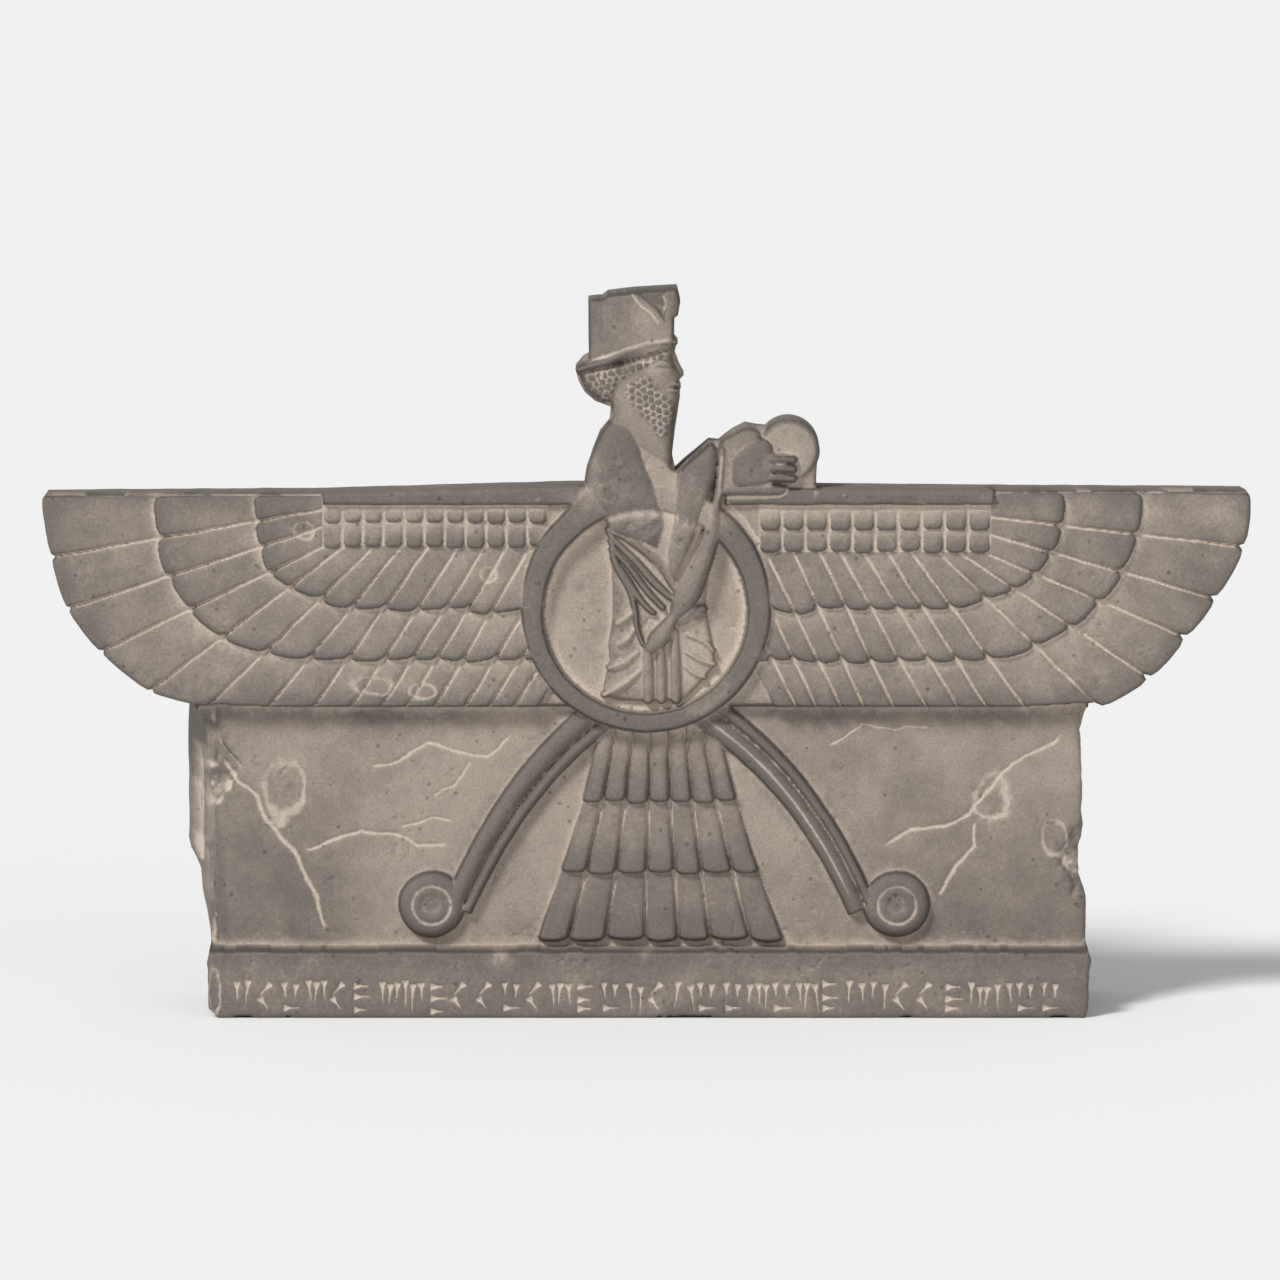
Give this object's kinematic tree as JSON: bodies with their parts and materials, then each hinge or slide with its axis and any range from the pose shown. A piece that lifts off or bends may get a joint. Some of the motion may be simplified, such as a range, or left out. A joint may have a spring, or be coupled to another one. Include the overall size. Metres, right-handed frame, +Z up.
{
  "type": "faravahar statue",
  "caption": "Faravahar statue in cast stone: a winged ring with a robed figure, scrolled tendrils and a feathered tail, in relief on a block plinth with a strip of wedge strokes.",
  "frame": {"origin": "middle of the underside of the plinth", "axes": "+X along the wings towards the viewer's right, -Y out of the carved front, +Z up"},
  "size_m": [0.3015, 0.046, 0.183],
  "materials": {
    "cast_stone": "matte"
  },
  "bodies": {
    "root": {"faravahar_statue": "cast_stone"}
  },
  "joints": []
}
